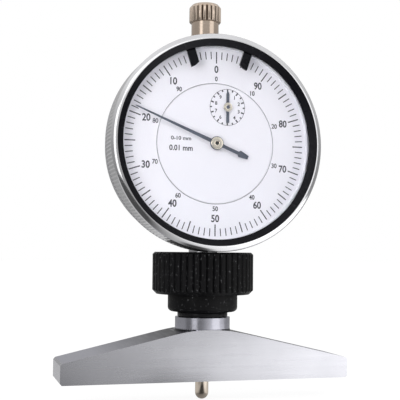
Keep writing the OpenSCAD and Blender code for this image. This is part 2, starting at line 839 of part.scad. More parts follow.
module return_spring() {
    points = [for (i = [0 : coil_last]) each coil_ring(i)];
    walls = [for (i = [0 : coil_last - 1], k = [0 : coil_sides - 1])
        let (a = i * coil_sides + k, b = i * coil_sides + (k + 1) % coil_sides)
        each [[a, a + coil_sides, b], [b, a + coil_sides, b + coil_sides]]];
    start_cap = [for (k = [1 : coil_sides - 2]) [0, k, k + 1]];
    end_first = coil_last * coil_sides;
    end_cap = [for (k = [1 : coil_sides - 2]) [end_first, end_first + k + 1, end_first + k]];
    color([0.60, 0.61, 0.64]) polyhedron(points, concat(walls, start_cap, end_cap));
}
echo(spring_gap = spring_pitch - spring_wire_d, dial_z = dial_z, wheel_offset_z = wheel_offset_z);

// ---- dial and hands ----

module centre_dial() {
    centre_hole_r = 1.2;
    counter_hole_r = 0.9;
    color([0.90, 0.90, 0.93]) on_dial() difference() {
        rod(dial_seam_r - seat_gap, dial_rear, dial_face);
        rod(centre_hole_r, 0, dial_face + over);
        rod(counter_hole_r, 0, dial_face + over, counter_at);
    }
}

module scale_ring() {
    color([0.90, 0.90, 0.93]) on_dial()
        band(dial_plate_r, dial_seam_r + seat_gap, dial_rear, dial_face);
}

module pointer_hub() {
    color([0.85, 0.78, 0.62]) on_dial() difference() {
        rod(pointer_hub_d / 2, dial_face + 0.5, dial_face + 1.5);
        rod(arbor_r, 0, dial_face + 1.3 + eps);
    }
}

module main_pointer() {
    low = dial_face + 0.95;
    high = low + 0.2;
    rim = 0.2;
    root = 2;
    root_half = 0.55;
    waist_half = 0.5;
    point_half = 0.16;
    point_start = pointer_length - 0.6;
    bar_half = 0.45;
    bar_end = 3 - pointer_tail;
    fan_half = 0.95;
    fan_start = 2.6 - pointer_tail;
    color([0.16, 0.18, 0.24]) on_dial() rotate([0, 0, pointer_angle]) difference() {
        union() {
            translate([0, 0, low]) linear_extrude(height = high - low) polygon([
                [-root_half, -root], [root_half, -root], [waist_half, root],
                [point_half, point_start], [0, pointer_length], [-point_half, point_start],
                [-waist_half, root]]);
            translate([0, 0, low]) linear_extrude(height = high - low) polygon([
                [-bar_half, 0], [-bar_half, bar_end], [-fan_half, fan_start],
                [-waist_half, -pointer_tail], [waist_half, -pointer_tail],
                [fan_half, fan_start], [bar_half, bar_end], [bar_half, 0]]);
            rod(pointer_hub_d / 2 + rim, low, high);
        }
        rod(pointer_hub_d / 2, 0, high + over);
    }
}

module counter_hand() {
    low = dial_face + 0.2;
    thickness = 0.2;
    half = 0.4;
    tail = counter_hand_length - 0.4;
    point_start = counter_hand_length - 1;
    hub_r = 1.15;
    hub_h = 0.45;
    color([0.16, 0.18, 0.24]) on_dial() translate(counter_at) difference() {
        union() {
            translate([0, 0, low]) linear_extrude(height = thickness) polygon([
                [-half, -tail], [half, -tail], [half, point_start],
                [0, counter_hand_length], [-half, point_start]]);
            rod(hub_r, low, low + hub_h);
        }
        rod(arbor_r, 0, dial_face + 0.6);
    }
}

// ---- bezel ----

module bezel() {
    color([0.80, 0.81, 0.83]) on_dial() rotate_extrude() difference() {
        polygon([
            [bezel_inner_r, bezel_rear], [bezel_r - bezel_rear_edge, bezel_rear],
            [bezel_r, bezel_rear + bezel_rear_edge], [bezel_r, bezel_front - bezel_bevel],
            [trim_outer_r + 0.05, bezel_front], [trim_outer_r, bezel_front],
            [trim_outer_r, crystal_front], [crystal_seat_r, crystal_front],
            [crystal_seat_r, crystal_rear], [dial_seat_r, crystal_rear],
            [dial_seat_r, dial_rear], [dial_seat_r - 0.8, dial_rear],
            [dial_seat_r - 0.8, case_front + 0.5], [bezel_inner_r, case_front + 0.5]
        ]);
        translate([wire_ring_r, wire_depth]) circle(r = wire_r + 0.08 + 0.25);
    }
}

module bezel_wire() {
    color([0.55, 0.56, 0.60]) on_dial() rotate([0, 0, wire_gap_angle / 2 - 90])
        rotate_extrude(angle = 360 - wire_gap_angle)
            translate([wire_ring_r, wire_depth]) circle(r = wire_r);
}

module dial_spacer() {
    color([0.82, 0.82, 0.85]) on_dial()
        band(dial_plate_r, trim_inner_r - 0.05, dial_face, crystal_rear);
}

module crystal() {
    color([0.85, 0.90, 0.95, 0.3]) on_dial()
        rod(crystal_seat_r - seat_gap, crystal_rear, crystal_front);
}

module trim_ring() {
    lip_out = trim_inner_r + 1;
    color([0.07, 0.07, 0.08]) on_dial() rotate_extrude() polygon([
        [trim_outer_r, crystal_front], [trim_outer_r, bezel_front],
        [trim_inner_r, trim_lip + trim_lip_t], [trim_inner_r, trim_lip],
        [lip_out, trim_lip], [lip_out, crystal_front]
    ]);
}

// Tolerance mark: an arc foot held under the trim ring and a finger over the crystal
module tolerance_mark(side) {
    foot_in = trim_inner_r + 0.15;
    foot_out = trim_inner_r + 0.9;
    neck_in = trim_inner_r - 1;
    neck_out = foot_in + 0.2;
    finger_out = trim_inner_r - 0.35;
    corner = mark_inner_r + 0.5;
    slant = side * 0.4;
    color([0.07, 0.07, 0.08]) on_dial() rotate([0, 0, -side * mark_angle]) {
        rotate([0, 0, 90 - mark_foot_half]) rotate_extrude(angle = 2 * mark_foot_half)
            translate([foot_in, mark_foot_depth]) square([foot_out - foot_in, mark_foot_t]);
        translate([0, 0, mark_foot_depth]) linear_extrude(height = mark_foot_t) polygon([
            [-mark_w / 2, neck_in], [mark_w / 2, neck_in],
            [mark_w / 2, neck_out], [-mark_w / 2, neck_out]]);
        translate([0, 0, mark_foot_depth]) linear_extrude(height = mark_t) polygon([
            [-mark_w / 2, corner + slant], [0, mark_inner_r + 0.3],
            [mark_w / 2, corner - slant],
            [mark_w / 2, finger_out], [-mark_w / 2, finger_out]]);
    }
}

module mark_left() { tolerance_mark(-1); }
module mark_right() { tolerance_mark(1); }

base();
clamp_neck();
seal_ring();
split_sleeve();
clamp_nut();
stem();
stem_bush();
case_body();
back_cover();
cover_screws();
upper_bush();
spindle();
contact_point();
lifting_cap();
guide_pin();
guide_rail();
spring_post();
return_spring();
movement_plate();
pillars();
plate_screws();
rear_cock();
rack_arbor();
rack_wheel();
centre_pinion();
counter_arbor();
counter_wheel();
hairspring();
centre_dial();
pointer_hub();
main_pointer();
counter_hand();
bezel();
bezel_wire();
scale_ring();
dial_spacer();
crystal();
trim_ring();
mark_left();
mark_right();
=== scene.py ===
import json
import math

import bmesh
import bpy
from bpy.props import FloatProperty, FloatVectorProperty, IntProperty, PointerProperty
from mathutils import Matrix, Vector


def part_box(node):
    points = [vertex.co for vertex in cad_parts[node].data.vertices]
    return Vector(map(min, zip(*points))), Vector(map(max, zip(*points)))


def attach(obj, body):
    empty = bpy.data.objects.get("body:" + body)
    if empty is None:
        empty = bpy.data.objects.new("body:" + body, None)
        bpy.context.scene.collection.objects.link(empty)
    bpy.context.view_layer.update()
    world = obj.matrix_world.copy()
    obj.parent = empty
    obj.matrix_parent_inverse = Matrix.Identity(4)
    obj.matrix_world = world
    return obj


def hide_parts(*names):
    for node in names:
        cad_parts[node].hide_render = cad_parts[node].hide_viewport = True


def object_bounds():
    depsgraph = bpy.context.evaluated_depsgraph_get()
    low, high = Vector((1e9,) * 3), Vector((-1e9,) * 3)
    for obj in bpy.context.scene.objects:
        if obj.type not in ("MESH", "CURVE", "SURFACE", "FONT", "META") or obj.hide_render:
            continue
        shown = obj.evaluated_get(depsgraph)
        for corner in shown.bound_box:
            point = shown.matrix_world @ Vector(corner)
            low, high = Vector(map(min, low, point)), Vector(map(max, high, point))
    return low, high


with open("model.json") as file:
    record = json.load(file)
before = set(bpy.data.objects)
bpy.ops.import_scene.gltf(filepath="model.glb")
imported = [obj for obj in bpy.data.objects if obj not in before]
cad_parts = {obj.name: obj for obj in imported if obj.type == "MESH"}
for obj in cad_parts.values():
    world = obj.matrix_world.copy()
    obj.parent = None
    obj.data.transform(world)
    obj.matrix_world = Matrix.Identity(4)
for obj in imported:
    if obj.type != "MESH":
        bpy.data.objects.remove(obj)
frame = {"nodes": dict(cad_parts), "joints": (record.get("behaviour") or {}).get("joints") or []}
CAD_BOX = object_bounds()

bl_info = {
    "name": "Dial depth gauge",
    "version": (1, 0, 0),
    "blender": (4, 5, 0),
    "location": "View3D > Sidebar > Depth Gauge",
    "description": "Finishes a dial depth gauge: base, knurled nut, bezel, printed dial, hands",
    "category": "Object",
}

MM = 0.001
UP = (0, 0, 1)
FULL_TURN = 2 * math.pi


# ---- the frame ----

def joint_point(name):
    """The point that a joint turns about, in the frame."""
    return Vector(next(j["pos_m"] for j in frame["joints"] if j["name"] == name))


def node_size(node):
    """Size of a node along X, Y and Z."""
    low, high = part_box(node)
    return high - low


DIAL_CENTRE = joint_point("bezel_turn")
COUNTER_CENTRE = joint_point("counter_spin")
COUNTER_AT = Vector((COUNTER_CENTRE.x, COUNTER_CENTRE.z - DIAL_CENTRE.z))
# On the dial X runs right, Y up and Z towards the reader, counted from the stem's axis.
DIAL = Matrix.Translation((0, 0, DIAL_CENTRE.z)) @ Matrix.Rotation(math.radians(90), 4, "X")


def depth(node):
    """How far a node reaches back and forward on the dial's own Z axis."""
    low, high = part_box(node)
    return -high.y, -low.y


# ---- sizes and colours that a user would change ----

def length(name, description, value, low, high):
    """A length property, given in millimetres and kept in metres."""
    return FloatProperty(name=name, description=description, default=value * MM,
                         min=low * MM, max=high * MM, unit="LENGTH", precision=5)


def colour(name, description, red, green, blue):
    """A colour property."""
    return FloatVectorProperty(name=name, description=description, subtype="COLOR", size=4,
                               default=(red, green, blue, 1), min=0, max=1)


class GaugeSizes(bpy.types.PropertyGroup):
    edge: length("Broken edge", "Rounding on the edges of the base", 0.22, 0.05, 0.5)
    fine_edge: length("Fine edge", "Rounding on the edges of small turned parts", 0.08, 0.02, 0.2)
    nut_ridges: IntProperty(name="Nut ridges", description="Ridges round the clamp nut",
                            default=48, min=24, max=72)
    nut_groove: length("Nut groove", "Depth of the grooves round the clamp nut", 0.55, 0.2, 0.9)
    bezel_ridges: IntProperty(name="Bezel ridges", description="Fine ridges round the bezel",
                              default=180, min=120, max=220)
    bezel_groove: length("Bezel groove", "Depth of the fine knurl on the bezel", 0.22, 0.05, 0.3)
    cap_flutes: IntProperty(name="Cap flutes", description="Flutes round the lifting cap",
                            default=20, min=12, max=30)
    cap_groove: length("Cap flute depth", "Depth of the flutes on the lifting cap", 0.45, 0.2, 0.7)
    tick: length("Tick width", "Width of a printed tick", 0.25, 0.08, 0.3)
    numeral: length("Numeral height", "Height of the outer numerals", 2.0, 1.2, 2.4)
    small_numeral: length("Small numeral height", "Height of the inner numerals", 1.3, 0.8, 1.6)
    ink: length("Ink thickness", "How far the print stands on the dial", 0.02, 0.01, 0.05)


class GaugeColours(bpy.types.PropertyGroup):
    steel: colour("Ground steel", "Front, ends and underside of the base", 0.62, 0.62, 0.66)
    milled: colour("Milled steel", "Shoulders of the base and its boss", 0.34, 0.34, 0.38)
    chrome: colour("Chrome", "Bezel and case", 0.80, 0.80, 0.82)
    black: colour("Black nut", "Clamp nut", 0.0035, 0.0035, 0.004)
    trim: colour("Black trim", "Ring and tolerance marks in the bezel", 0.004, 0.004, 0.006)
    nickel: colour("Warm nickel", "Lifting cap", 0.62, 0.51, 0.42)
    dial: colour("Dial lacquer", "Dial plates", 0.88, 0.865, 0.91)
    ink: colour("Ink", "Print on the dial", 0.022, 0.021, 0.030)
    hand: colour("Hand lacquer", "Both hands", 0.055, 0.065, 0.090)
    brass: colour("Brass", "Movement plates and wheels", 0.78, 0.58, 0.28)


def angle(name, description, degrees):
    """An angle property, given in degrees."""
    return FloatProperty(name=name, description=description, default=math.radians(degrees),
                         subtype="ANGLE")


class GaugeStage(bpy.types.PropertyGroup):
    camera_turn: angle("Camera turn", "Where the camera stands, from the front", -15.97)
    camera_distance: length("Camera distance", "Level distance from the spindle's axis",
                            246.9, 150, 600)
    camera_height: length("Camera height", "Height above the measuring face", 34.6, 0, 300)
    camera_yaw: angle("Yaw", "How far the camera looks to the left of the axis", 0.224)
    camera_pitch: angle("Pitch", "How far the camera looks up", 3.358)
    camera_roll: angle("Roll", "How far the camera leans", 0.548)
    lens: FloatProperty(name="Lens", description="Focal length in millimetres", default=79.6, min=20)
    floor_size: length("Floor size", "Width of the floor", 6000, 1000, 9000)


# ---- making meshes ----

def spun(outline, steps):
    """A body turned round Z from an outline of (radius, height) points."""
    bm = bmesh.new()
    corners = [bm.verts.new((radius, 0, height)) for radius, height in outline]
    edges = [bm.edges.new(pair) for pair in zip(corners, corners[1:] + corners[:1])
             if pair[0].co.x > 0 or pair[1].co.x > 0]
    bmesh.ops.spin(bm, geom=corners + edges, cent=(0, 0, 0), axis=UP, dvec=(0, 0, 0),
                   angle=FULL_TURN, steps=steps, use_merge=True)
    bmesh.ops.remove_doubles(bm, verts=bm.verts, dist=1e-7)
    bmesh.ops.recalc_face_normals(bm, faces=bm.faces)
    return bm


def round_edges(bm, width, sharp_angle=30, segments=2):
    """Rounds every edge that is sharper than the angle."""
    sharp = [e for e in bm.edges
             if len(e.link_faces) == 2 and e.calc_face_angle(0) > math.radians(sharp_angle)]
    bmesh.ops.bevel(bm, geom=sharp, offset=width, offset_type="OFFSET", segments=segments,
                    profile=0.5, affect="EDGES", clamp_overlap=True, material=-1)


def stretch(start, end, pieces):
    """Points from start towards end, without the end itself."""
    a, b = Vector(start), Vector(end)
    return [tuple(a.lerp(b, i / pieces)) for i in range(pieces)]


def bulged(start, end, turn, pieces):
    """Points on an arc from start towards end that bulges to the right and turns by an angle."""
    a, b = Vector(start), Vector(end)
    chord = b - a
    outward = Vector((chord.y, -chord.x)).normalized()
    radius = chord.length / (2 * math.sin(turn / 2))
    middle = (a + b) / 2 - outward * radius * math.cos(turn / 2)
    first = math.atan2(a.y - middle.y, a.x - middle.x)
    return [(middle.x + radius * math.cos(first + turn * i / pieces),
             middle.y + radius * math.sin(first + turn * i / pieces)) for i in range(pieces)]


def cut_grooves(bm, count, groove, crest_radius, low, high, flat):
    """Cuts straight grooves round Z between two heights. Flat is the share that stays uncut."""
    steepness = 1.2
    for vert in bm.verts:
        if low <= vert.co.z <= high:
            place = (math.atan2(vert.co.y, vert.co.x) / FULL_TURN * count) % 1
            nearness = 1 - abs(place - 0.5) / (0.5 - flat / 2)
            share = max(0, min(1, nearness * steepness))
            limit = crest_radius - groove * share
            radius = math.hypot(vert.co.x, vert.co.y)
            if radius > limit:
                vert.co.x *= limit / radius
                vert.co.y *= limit / radius


def copy_of(node):
    """A merged copy of a node's mesh, with its flat faces joined up."""
    bm = bmesh.new()
    bm.from_mesh(frame["nodes"][node].data)
    bmesh.ops.remove_doubles(bm, verts=bm.verts, dist=1e-6)
    bmesh.ops.dissolve_limit(bm, angle_limit=math.radians(0.1), verts=bm.verts, edges=bm.edges)
    return bm


def add_piece(name, bm, materials, body, replaces=(), sharp_angle=40):
    """Makes the finished piece and hangs it on its body."""
    mesh = bpy.data.meshes.new(name)
    bm.to_mesh(mesh)
    bm.free()
    mesh.shade_smooth()
    mesh.set_sharp_from_angle(angle=math.radians(sharp_angle))
    for item in materials:
        mesh.materials.append(item)
    piece = bpy.data.objects.new(name, mesh)
    bpy.context.scene.collection.objects.link(piece)
    even = piece.modifiers.new("Even normals", "WEIGHTED_NORMAL")
    even.keep_sharp = True
    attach(piece, body)
    if replaces:
        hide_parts(*replaces)


def finish_node(node, material):
    """Gives a node's own mesh a better material."""
    thing = frame["nodes"][node]
    if not thing.material_slots:
        thing.data.materials.append(material)
    for place in thing.material_slots:
        place.material = material


def rounded_node(node, name, material, body, width):
    """Stands a copy of a node with broken edges in for it."""
    bm = copy_of(node)
    round_edges(bm, width)
    add_piece(name, bm, [material], body, [node])


# ---- shared effects ----

def effect(name, inputs, outputs):
    """An empty node group with named sockets. Inputs are (name, socket type, default)."""
    tree = bpy.data.node_groups.new(name, "ShaderNodeTree")
    for title, kind, value in inputs:
        socket = tree.interface.new_socket(title, in_out="INPUT", socket_type=kind)
        socket.default_value = value
    for title in outputs:
        tree.interface.new_socket(title, in_out="OUTPUT", socket_type="NodeSocketFloat")
    return tree, tree.nodes.new("NodeGroupInput"), tree.nodes.new("NodeGroupOutput")


def feed(tree, value, socket):
    """Links a socket to another one, or gives it a plain value."""
    if isinstance(value, bpy.types.NodeSocket):
        tree.links.new(value, socket)
    else:
        socket.default_value = value


def vector_math(tree, operation, first, second=None):
    """The result of a vector maths node. Second is a socket or a plain vector."""
    node = tree.nodes.new("ShaderNodeVectorMath")
    node.operation = operation
    tree.links.new(first, node.inputs[0])
    if second is not None:
        feed(tree, second, node.inputs[1])
    return node.outputs["Value" if operation in {"LENGTH", "DOT_PRODUCT"} else "Vector"]


def number_math(tree, operation, first, second):
    """The result of a maths node. Second is a socket or a plain number."""
    node = tree.nodes.new("ShaderNodeMath")
    node.operation = operation
    tree.links.new(first, node.inputs[0])
    feed(tree, second, node.inputs[1])
    return node.outputs["Value"]


def noise(tree, vector, scale, detail, roughness=0.5):
    """A noise texture read at a vector. Scale is a socket or a plain number."""
    node = tree.nodes.new("ShaderNodeTexNoise")
    node.inputs["Detail"].default_value = detail
    node.inputs["Roughness"].default_value = roughness
    feed(tree, scale, node.inputs["Scale"])
    tree.links.new(vector, node.inputs["Vector"])
    return node.outputs["Fac"]


def spread(tree, value, low, high, start=0, end=1):
    """Maps a value from one range onto another, and stops at its ends."""
    node = tree.nodes.new("ShaderNodeMapRange")
    limits = {"From Min": low, "From Max": high, "To Min": start, "To Max": end}
    for title, number in limits.items():
        node.inputs[title].default_value = number
    tree.links.new(value, node.inputs["Value"])
    return node.outputs["Result"]


def object_place(tree):
    """Where a point lies on the object."""
    return tree.nodes.new("ShaderNodeTexCoord").outputs["Object"]


def make_grain():
    """Straight grinding lines, with soft clouds of a lighter and darker tone."""
    tree, given, result = effect("Straight grain", [
        ("Density", "NodeSocketVector", (150, 150, 4000)),
        ("Clouds", "NodeSocketFloat", 60)], ["Height", "Tone", "Cloud"])
    where = object_place(tree)
    lines = vector_math(tree, "MULTIPLY", where, given.outputs["Density"])
    tone = noise(tree, lines, 0.35, 2)
    cloud = noise(tree, where, given.outputs["Clouds"], 4)
    tree.links.new(noise(tree, lines, 1, 3, 0.6), result.inputs["Height"])
    tree.links.new(spread(tree, tone, 0.3, 0.7), result.inputs["Tone"])
    tree.links.new(spread(tree, cloud, 0.35, 0.65), result.inputs["Cloud"])
    return tree


def make_turning():
    """Fine rings left by a lathe tool, round an axis through a centre."""
    tree, given, result = effect("Turning marks", [
        ("Centre", "NodeSocketVector", (0, 0, 0)),
        ("Across", "NodeSocketVector", (1, 1, 0)),
        ("Along", "NodeSocketVector", (0, 0, 1)),
        ("Rings", "NodeSocketFloat", 4000)], ["Height", "Tone"])
    arm = vector_math(tree, "SUBTRACT", object_place(tree), given.outputs["Centre"])
    flat = vector_math(tree, "MULTIPLY", arm, given.outputs["Across"])
    radius = vector_math(tree, "LENGTH", flat)
    along = vector_math(tree, "DOT_PRODUCT", arm, given.outputs["Along"])
    path = number_math(tree, "ADD", radius, along)
    rings = number_math(tree, "MULTIPLY", path, given.outputs["Rings"])
    for title, scale, low, high in (("Height", 1.0, 0.0, 1.0), ("Tone", 0.23, 0.35, 0.65)):
        texture = tree.nodes.new("ShaderNodeTexNoise")
        texture.noise_dimensions = "1D"
        texture.inputs["Scale"].default_value = scale
        texture.inputs["Detail"].default_value = 2
        tree.links.new(rings, texture.inputs["W"])
        tree.links.new(spread(tree, texture.outputs["Fac"], low, high), result.inputs[title])
    return tree


def make_handling():
    """Smudges from fingers, and small bright specks where a finish has worn."""
    tree, given, result = effect("Handling", [
        ("Smudge size", "NodeSocketFloat", 90),
        ("Speck size", "NodeSocketFloat", 2200)], ["Smudge", "Speck"])
    where = object_place(tree)
    for title, source, low, high in (("Smudge", "Smudge size", 0.35, 0.7),
                                     ("Speck", "Speck size", 0.62, 0.76)):
        spots = noise(tree, where, given.outputs[source], 3)
        tree.links.new(spread(tree, spots, low, high), result.inputs[title])
    return tree


EFFECTS = {}


def place_effect(tree, name, **values):
    """Places a shared effect in a material with its own values."""
    makers = {"grain": make_grain, "turning": make_turning, "handling": make_handling}
    if name not in EFFECTS:
        EFFECTS[name] = makers[name]()
    node = tree.nodes.new("ShaderNodeGroup")
    node.node_tree = EFFECTS[name]
    for title, value in values.items():
        node.inputs[title.replace("_", " ")].default_value = value
    return node


# ---- materials ----

def surface(name, tint, metallic, roughness):
    """A new material and its shader, with the values that are the same all over."""
    made = bpy.data.materials.new(name)
    made.use_nodes = True
    shader = made.node_tree.nodes["Principled BSDF"]
    shader.inputs["Base Color"].default_value = tuple(tint)
    shader.inputs["Metallic"].default_value = metallic
    shader.inputs["Roughness"].default_value = roughness
    made.diffuse_color = tuple(tint)
    return made, made.node_tree, shader


def tint_by(tree, shader, mask, first, second):
    """Mixes two colours by a mask into the base colour."""
    mix = tree.nodes.new("ShaderNodeMix")
    mix.data_type = "RGBA"
    tree.links.new(mask, mix.inputs["Factor"])
    mix.inputs["A"].default_value = first
    mix.inputs["B"].default_value = second
    tree.links.new(mix.outputs["Result"], shader.inputs["Base Color"])


def bump_by(tree, shader, height, distance, strength=1.0):
    """Raises the surface by a height map. Distance is in metres."""
    bump = tree.nodes.new("ShaderNodeBump")
    bump.inputs["Distance"].default_value = distance
    bump.inputs["Strength"].default_value = strength
    tree.links.new(height, bump.inputs["Height"])
    tree.links.new(bump.outputs["Normal"], shader.inputs["Normal"])


def roughen_by(tree, shader, mask, low, high):
    """Varies the roughness by a mask."""
    tree.links.new(spread(tree, mask, 0, 1, low, high), shader.inputs["Roughness"])


def mix_shaders(tree, share, first, second):
    """Mixes two shaders by a share."""
    mix = tree.nodes.new("ShaderNodeMixShader")
    tree.links.new(share, mix.inputs[0])
    tree.links.new(first, mix.inputs[1])
    tree.links.new(second, mix.inputs[2])
    return mix.outputs["Shader"]


def shade(tint, factor):
    """A colour made lighter or darker."""
    return tuple(min(1, c * factor) for c in tuple(tint)[:3]) + (1,)


def ground_steel(name, tint, density, low, high, distance):
    """Steel with straight grinding lines and a faint cloudiness."""
    made, tree, shader = surface(name, tint, 1, low)
    grain = place_effect(tree, "grain", Density=density, Clouds=55)
    tint_by(tree, shader, grain.outputs["Cloud"], shade(tint, 0.93), shade(tint, 1.05))
    roughen_by(tree, shader, grain.outputs["Tone"], low, high)
    bump_by(tree, shader, grain.outputs["Height"], distance)
    return made


def milled_steel(name, near, far):
    """Steel milled across the base, with painted shade that darkens it beside the boss."""
    made, tree, shader = surface(name, far, 1, 0.4)
    grain = place_effect(tree, "grain", Density=(2600, 300, 2600), Clouds=80)
    along = vector_math(tree, "MULTIPLY", object_place(tree), (1, 0, 0))
    reach = vector_math(tree, "LENGTH", along)
    # Painted shade: the tint darkens from the ends of the base towards the boss.
    painted_shade_full_to = 9 * MM
    painted_shade_gone_from = 31 * MM
    tint_by(tree, shader, spread(tree, reach, painted_shade_full_to, painted_shade_gone_from), near, far)
    roughen_by(tree, shader, grain.outputs["Tone"], 0.34, 0.44)
    bump_by(tree, shader, grain.outputs["Height"], 0.003 * MM)
    return made


def turned_metal(name, tint, low, high, distance, rings=5000, facing_dial=False):
    """Metal with fine lathe marks, round the stem's axis or round the dial's."""
    made, tree, shader = surface(name, tint, 1, low)
    marks = place_effect(tree, "turning", Rings=rings)
    if facing_dial:
        marks.inputs["Centre"].default_value = (0, 0, DIAL_CENTRE.z)
        marks.inputs["Across"].default_value = (1, 0, 1)
        marks.inputs["Along"].default_value = (0, 1, 0)
    handling = place_effect(tree, "handling", Smudge_size=110)
    tint_by(tree, shader, handling.outputs["Smudge"], shade(tint, 1.03), shade(tint, 0.95))
    roughen_by(tree, shader, marks.outputs["Tone"], low, high)
    bump_by(tree, shader, marks.outputs["Height"], distance)
    return made


def worn_black(name, tint, worn, low, high, distance):
    """Black finish with a fine tooth and small worn specks."""
    made, tree, shader = surface(name, tint, 0, low)
    shader.inputs["Specular IOR Level"].default_value = 0.12
    handling = place_effect(tree, "handling", Smudge_size=160, Speck_size=1500)
    tint_by(tree, shader, handling.outputs["Speck"], tuple(tint), worn)
    roughen_by(tree, shader, handling.outputs["Smudge"], low, high)
    tooth = place_effect(tree, "grain", Density=(3500, 3500, 3500), Clouds=200)
    bump_by(tree, shader, tooth.outputs["Height"], distance)
    return made


def lacquer(name, first, second, low, high, clouds):
    """Thin lacquer with a soft change of tint."""
    made, tree, shader = surface(name, first, 0, low)
    grain = place_effect(tree, "grain", Density=(9000, 9000, 9000), Clouds=clouds)
    tint_by(tree, shader, grain.outputs["Cloud"], first, second)
    roughen_by(tree, shader, grain.outputs["Tone"], low, high)
    bump_by(tree, shader, grain.outputs["Height"], 0.002 * MM)
    return made


def clear_crystal():
    """Clear crystal that lets lamp light through to the dial."""
    made, tree, shader = surface("Clear crystal", (0.97, 0.98, 1, 1), 0, 0.02)
    shader.inputs["Transmission Weight"].default_value = 1
    shader.inputs["IOR"].default_value = 1.45
    handling = place_effect(tree, "handling", Smudge_size=60)
    roughen_by(tree, shader, handling.outputs["Smudge"], 0.0, 0.03)
    through = tree.nodes.new("ShaderNodeBsdfTransparent")
    path = tree.nodes.new("ShaderNodeLightPath")
    whole = mix_shaders(tree, path.outputs["Is Shadow Ray"], shader.outputs["BSDF"],
                        through.outputs["BSDF"])
    tree.links.new(whole, tree.nodes["Material Output"].inputs["Surface"])
    return made


MADE = {}


def finish(name):
    """A finish by name, made the first time that it is asked for."""
    tints = bpy.context.scene.gauge_colours
    fine = 0.001 * MM
    recipes = {
        "ground steel": (ground_steel, "Ground steel", tints.steel, (120, 2500, 2500),
                         0.24, 0.29, fine),
        # Milled steel: its first tint is painted shade beside the boss, its second the plain tint at
        # the ends.
        "milled steel": (milled_steel, "Milled steel", shade(tints.milled, 0.17),
                         shade(tints.milled, 1.35)),
        "turned steel": (turned_metal, "Turned steel", shade(tints.milled, 1.5),
                         0.20, 0.24, 0.0003 * MM),
        # Painted shade: a dark ring at the foot of the boss, where it meets the crown.
        "boss foot": (turned_metal, "Boss foot", shade(tints.milled, 0.06), 0.30, 0.40, fine),
        "bright steel": (turned_metal, "Bright steel", (0.66, 0.66, 0.68, 1),
                         0.12, 0.22, 0.002 * MM),
        "dark pivot": (turned_metal, "Burnished pivot steel", (0.06, 0.055, 0.05, 1),
                       0.25, 0.35, fine),
        "bezel chrome": (turned_metal, "Bezel chrome", tints.chrome, 0.10, 0.20, fine, 5000, True),
        "case chrome": (turned_metal, "Satin case chrome", shade(tints.chrome, 0.85),
                        0.24, 0.36, 0.003 * MM, 3500, True),
        "warm nickel": (turned_metal, "Warm nickel", tints.nickel, 0.14, 0.24, 0.002 * MM),
        # Painted shade deep in the flutes of the lifting cap.
        "cap flute painted shade": (turned_metal, "Dull nickel in the flutes", shade(tints.nickel, 0.35),
                       0.30, 0.40, 0.002 * MM),
        "contact steel": (turned_metal, "Polished contact steel", (0.80, 0.70, 0.60, 1),
                          0.08, 0.14, fine),
        "bronze": (turned_metal, "Turned bronze", (0.62, 0.45, 0.24, 1), 0.25, 0.38, 0.004 * MM),
        "brass": (ground_steel, "Brass plate", tints.brass, (1800, 200, 1800),
                  0.22, 0.34, 0.003 * MM),
        "hub brass": (turned_metal, "Pale hub brass", (0.93, 0.86, 0.72, 1),
                      0.18, 0.28, fine, 6000, True),
        "blued steel": (turned_metal, "Blued steel", (0.10, 0.15, 0.42, 1), 0.18, 0.26, fine),
        "spring wire": (turned_metal, "Drawn spring wire", (0.45, 0.45, 0.47, 1),
                        0.22, 0.32, fine),
        "black nut": (worn_black, "Black nut finish", tints.black, (0.085, 0.085, 0.09, 1),
                      0.36, 0.52, 0.012 * MM),
        "black trim": (worn_black, "Black trim", tints.trim, (0.02, 0.02, 0.024, 1),
                       0.26, 0.36, 0.002 * MM),
        "black rubber": (worn_black, "Black rubber", (0.008, 0.008, 0.009, 1),
                         (0.02, 0.02, 0.02, 1), 0.18, 0.26, fine),
        "dial lacquer": (lacquer, "Dial lacquer", tints.dial, (0.90, 0.875, 0.915, 1),
                         0.42, 0.50, 28),
        "spacer lacquer": (lacquer, "Spacer lacquer", (0.80, 0.80, 0.84, 1),
                           (0.84, 0.84, 0.88, 1), 0.35, 0.45, 80),
        "frosted edge": (lacquer, "Frosted crystal edge", (0.82, 0.83, 0.87, 1),
                         (0.88, 0.88, 0.91, 1), 0.4, 0.5, 90),
        "ink": (lacquer, "Printing ink", tints.ink, shade(tints.ink, 1.4), 0.5, 0.6, 300),
        "hand lacquer": (lacquer, "Hand lacquer", tints.hand, shade(tints.hand, 1.3),
                         0.28, 0.36, 200),
        "crystal": (clear_crystal,),
    }
    if name not in MADE:
        maker, *values = recipes[name]
        MADE[name] = maker(*values)
    return MADE[name]


# ---- the base and its clamp ----

class GAUGE_OT_base(bpy.types.Operator):
    """Makes the ground base with its milled shoulders and turned boss"""
    bl_idname = "gauge.base"
    bl_label = "Base"

    def execute(self, context):
        sizes = context.scene.gauge_sizes
        bm = copy_of("base")
        round_edges(bm, sizes.edge, 25, 2)
        boss_radius = 8.7 * MM
        boss_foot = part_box("base")[1].z - 4.6 * MM
        # Walls, slopes and level faces are told apart by how far their normals point up.
        wall = 0.08
        level = 0.98
        shoulder = 0.9
        for face in bm.faces:
            centre = face.calc_center_median()
            on_boss = centre.xy.length < boss_radius and centre.z > boss_foot
            # Sloping faces on the boss, its foot among them, take painted shade.
            if on_boss and wall < face.normal.z < level:
                face.material_index = 3
            elif on_boss:
                face.material_index = 2
            elif face.normal.z > shoulder:
                face.material_index = 1
        names = ("ground steel", "milled steel", "turned steel", "boss foot")
        add_piece("base_body", bm, [finish(n) for n in names], "base", ["base"])
        finish_node("clamp_neck", finish("turned steel"))
        return {"FINISHED"}


